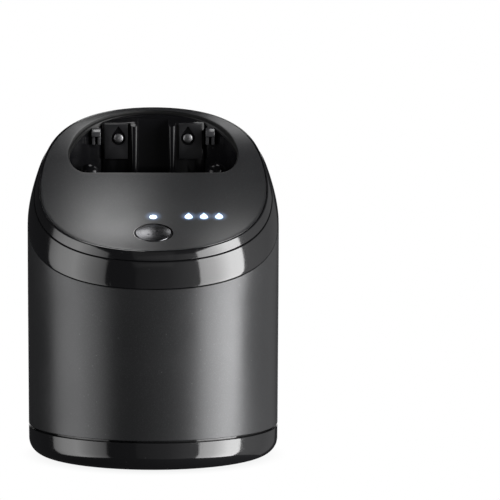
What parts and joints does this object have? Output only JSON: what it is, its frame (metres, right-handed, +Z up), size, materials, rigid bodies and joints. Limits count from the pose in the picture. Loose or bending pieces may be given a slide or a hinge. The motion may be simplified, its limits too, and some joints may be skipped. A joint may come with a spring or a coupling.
{
  "type": "shaver cleaning and charging station",
  "caption": "Round cleaning and charging station for an electric shaver: lifting housing, sloping panel, shaver bay, start button, level lights, pump, drying fan and refill cartridge.",
  "frame": {"origin": "centre of the underside, on the plane that the rubber feet stand on", "axes": "+Z up; the low front edge with the start button faces -Y, and +X is to the right when it is seen from the front"},
  "size_m": [0.1208, 0.1208, 0.1651],
  "materials": {
    "piano_black": "polished piano black",
    "frame_black": "fine moulded texture",
    "foot_rubber": "soft matt rubber",
    "zinc_steel": "zinc plated",
    "socket_black": "moulded",
    "pin_brass": "plated",
    "spring_steel": "drawn wire",
    "cartridge_blue": "translucent moulded",
    "cartridge_white": "moulded",
    "filter_white": "felt",
    "anthracite_lacquer": "satin metallic lacquer",
    "panel_grey": "fine satin",
    "bay_black": "gloss moulded",
    "plate_grey": "satin",
    "clip_grey": "moulded",
    "ring_black": "gloss",
    "light_white": "lit light guide",
    "board_green": "solder mask",
    "pump_grey": "moulded",
    "motor_steel": "drawn can",
    "hose_grey": "silicone",
    "contact_steel": "turned",
    "button_chrome": "dark satin chrome",
    "lift_grey": "fine satin",
    "fan_grey": "moulded"
  },
  "bodies": {
    "base": {"base_ring": "piano_black", "base_plate": "frame_black", "rubber_feet": "foot_rubber", "base_screws": "zinc_steel", "rear_column": "frame_black", "power_socket": "socket_black", "power_socket_pins": "pin_brass", "lift_spring_left": "spring_steel", "lift_spring_right": "spring_steel", "cartridge_tub": "cartridge_blue", "cartridge_cover": "cartridge_white", "cartridge_filter": "filter_white", "pickup_tube": "cartridge_white"},
    "housing": {"main_sleeve": "anthracite_lacquer", "collar_band": "piano_black", "bezel_band": "piano_black", "top_panel": "panel_grey", "cradle_basin": "bay_black", "contact_tower": "bay_black", "contact_plates": "plate_grey", "cradle_clips": "clip_grey", "cradle_rests": "bay_black", "start_button_ring": "ring_black", "status_light": "light_white", "level_lights": "light_white", "indicator_board": "board_green", "chassis_plate": "frame_black", "guide_rails": "frame_black", "latch_bracket": "zinc_steel", "chassis_screws": "zinc_steel", "pump_housing": "pump_grey", "pump_motor": "motor_steel", "nozzle_seals": "foot_rubber", "drain_tube": "frame_black", "supply_hose": "hose_grey", "fan_housing": "pump_grey", "air_duct": "frame_black", "main_board": "board_green"},
    "pin_left": {"contact_pin_left": "contact_steel"},
    "pin_right": {"contact_pin_right": "contact_steel"},
    "start_key": {"start_button": "button_chrome"},
    "lift_key": {"lift_button": "lift_grey", "lift_button_spring": "spring_steel", "latch_hook": "zinc_steel"},
    "impeller": {"pump_impeller": "cartridge_white"},
    "fan": {"fan_rotor": "fan_grey"}
  },
  "joints": [
    {"name": "housing_lift", "type": "slide", "parent": "base", "child": "housing", "axis": [0, 0, 1], "range_m": [0, 0.05], "deforming": ["lift_spring_left", "lift_spring_right"]},
    {"name": "start_button_press", "type": "slide", "parent": "housing", "child": "start_key", "axis": [0, 0.3797, -0.9251], "range_m": [0, 0.0012], "stiffness_N_per_m": 800, "springref_m": -0.0006},
    {"name": "lift_button_press", "type": "slide", "parent": "housing", "child": "lift_key", "axis": [0, -1, 0], "range_m": [0, 0.0025], "stiffness_N_per_m": 600, "springref_m": -0.001},
    {"name": "contact_pin_left_press", "type": "slide", "parent": "housing", "child": "pin_left", "axis": [0, 1, 0], "range_m": [0, 0.0012], "stiffness_N_per_m": 500, "springref_m": -0.0006},
    {"name": "contact_pin_right_press", "type": "slide", "parent": "housing", "child": "pin_right", "axis": [0, 1, 0], "range_m": [0, 0.0012], "stiffness_N_per_m": 500, "springref_m": -0.0006},
    {"name": "pump_spin", "type": "hinge", "parent": "housing", "child": "impeller", "pos_m": [-0.027, -0.016, 0.077], "axis": [0, 0, 1], "continuous": true},
    {"name": "fan_spin", "type": "hinge", "parent": "housing", "child": "fan", "pos_m": [0.029, -0.014, 0.078], "axis": [0, 0, 1], "continuous": true}
  ]
}
